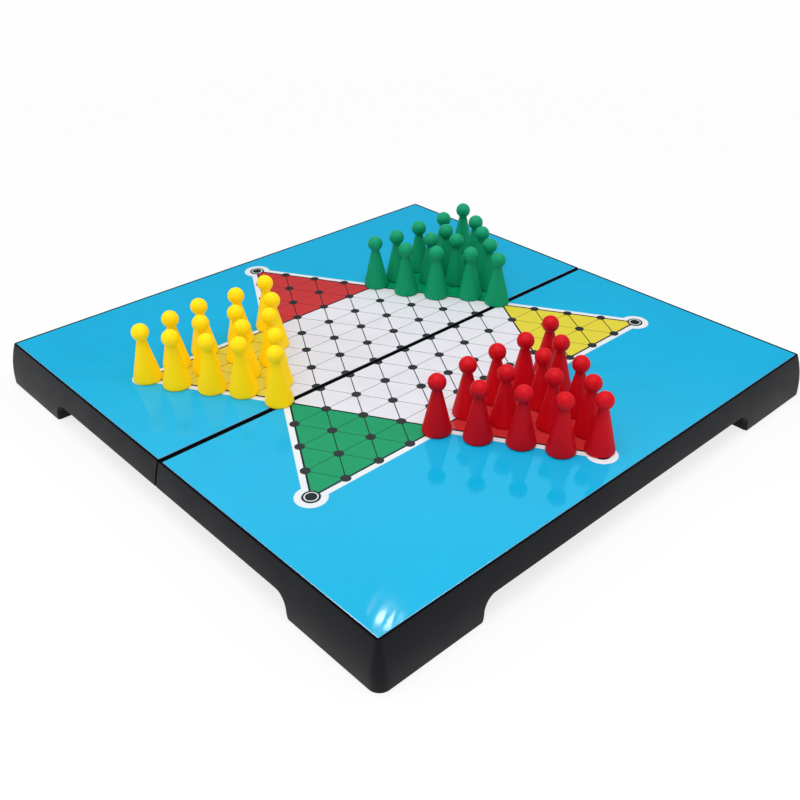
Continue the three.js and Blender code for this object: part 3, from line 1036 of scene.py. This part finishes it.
def make_floor():
    """The floor, which seen rays find nearly white round the board, with its shadow, and white far off."""
    mesh = bpy.data.meshes.new("floor")
    corners = [(-REACH, -REACH, 0), (REACH, -REACH, 0), (REACH, REACH, 0), (-REACH, REACH, 0)]
    mesh.from_pydata(corners, [], [(0, 1, 2, 3)])
    look = Material("studio_floor")
    lit = look.wire("ShaderNodeBsdfDiffuse", None, {"Color": FLOOR_COLOUR})
    plain = look.wire("ShaderNodeEmission", None, {"Color": PURE_WHITE, "Strength": 1.0})
    distance = look.wire("ShaderNodeVectorMath", {"operation": "LENGTH"}, {0: look.place}, output=1)
    fade = look.wire("ShaderNodeMapRange", None, {
        "Value": distance, "From Min": FADE_START, "From Max": FADE_END,
        "To Min": FLOOR_WHITE_SHARE, "To Max": 1.0,
    })
    camera_ray, mirror_ray = seen_rays(look)
    seen = camera_ray.larger(mirror_ray)
    shown = look.wire("ShaderNodeMixShader", None, {0: seen * fade, 1: lit, 2: plain})
    # From below, the floor is clear, so that the underside can be looked at.
    below = look.wire("ShaderNodeNewGeometry", output="Backfacing")
    clear = look.wire("ShaderNodeBsdfTransparent")
    whole = look.wire("ShaderNodeMixShader", None, {0: below, 1: shown, 2: clear})
    look.node("ShaderNodeOutputMaterial", None, {"Surface": whole})
    mesh.materials.append(look.material)
    floor = link("floor", mesh)


def make_sky():
    """The sky, which lights the board most from above. The camera sees it white, and so do mirrored rays near
    the horizon and overhead."""
    world = bpy.data.worlds.new("studio")
    world.use_nodes = True
    world.node_tree.nodes.clear()
    sky = Graph(world.node_tree)
    heading = sky.wire("ShaderNodeTexCoord", output="Generated")
    height = sky.wire("ShaderNodeSeparateXYZ", None, {0: heading}, output=2)
    above = height.larger(0)
    light = above * above * SKY_GAIN + SKY_LEAST
    backdrop = sky.wire("ShaderNodeMapRange", None, {
        "Value": height, "From Min": BACKDROP_TOP[0], "From Max": BACKDROP_TOP[1],
        "To Min": 1.0, "To Max": 0.0,
    })
    ceiling = sky.wire("ShaderNodeMapRange", {"interpolation_type": "SMOOTHSTEP"}, {
        "Value": height, "From Min": CEILING[0], "From Max": CEILING[1],
    })
    camera_ray, mirror_ray = seen_rays(sky)
    seen = camera_ray.larger(mirror_ray * backdrop.larger(ceiling))
    level = light + (1 - light) * seen
    soft = sky.wire("ShaderNodeBackground", None, {"Color": PURE_WHITE, "Strength": level})
    sky.node("ShaderNodeOutputWorld", None, {"Surface": soft})
    bpy.context.scene.world = world


def lamp(name, azimuth, elevation, spread, strength, tint=(1, 1, 1)):
    """A distant lamp, by where its light comes from and how wide it looks, in degrees."""
    data = bpy.data.lights.new(name, "SUN")
    data.angle = math.radians(spread)
    data.energy = strength
    data.color = tint
    made = link(name, data)
    a, e = math.radians(azimuth), math.radians(elevation)
    towards = Vector((math.cos(a) * math.cos(e), math.sin(a) * math.cos(e), math.sin(e)))
    made.rotation_euler = towards.to_track_quat("Z", "Y").to_euler()


def hang_panel():
    """A disc of light that hangs over the near half."""
    panel = bpy.data.lights.new("panel", "AREA")
    panel.shape = "DISK"
    panel.size = PANEL_SIZE
    panel.energy = PANEL_POWER
    link("panel", panel).location = PANEL_PLACE


def place_camera():
    """The camera, turned about its own axis by ROLL, with the photograph's middle off to one side."""
    back = Vector((
        math.sin(AZIMUTH) * math.cos(ELEVATION),
        -math.cos(AZIMUTH) * math.cos(ELEVATION),
        math.sin(ELEVATION),
    ))
    right = (-back).cross(Vector((0, 0, 1))).normalized()
    up = right.cross(-back)
    level_right = right * math.cos(ROLL) + up * math.sin(ROLL)
    level_up = up * math.cos(ROLL) - right * math.sin(ROLL)
    stand = AIM + back * DISTANCE
    data = bpy.data.cameras.new("camera")
    data.sensor_width = SENSOR
    data.lens = FOCAL_PIXELS / PHOTO * SENSOR
    data.shift_x = (PHOTO / 2 - CENTRE_X) / PHOTO
    data.clip_start = NEAR_CLIP
    camera = link("camera", data)
    camera.matrix_world = Matrix((
        (level_right.x, level_up.x, back.x, stand.x),
        (level_right.y, level_up.y, back.y, stand.y),
        (level_right.z, level_up.z, back.z, stand.z),
        (0, 0, 0, 1),
    ))
    bpy.context.scene.camera = camera


make_floor()
make_sky()
lamp("overhead", azimuth=200, elevation=84, spread=50, strength=1.0)
lamp("window", azimuth=200, elevation=42, spread=50, strength=0.2)
lamp("glint", azimuth=49.9, elevation=45.0, spread=0.8, strength=0.008, tint=(1, 0.46, 0.4))
lamp("left_edge", azimuth=143, elevation=26, spread=6, strength=0.3)
lamp("right_edge", azimuth=-53.6, elevation=27, spread=5, strength=0.25)
hang_panel()
place_camera()
bpy.context.scene.view_settings.view_transform = "Standard"
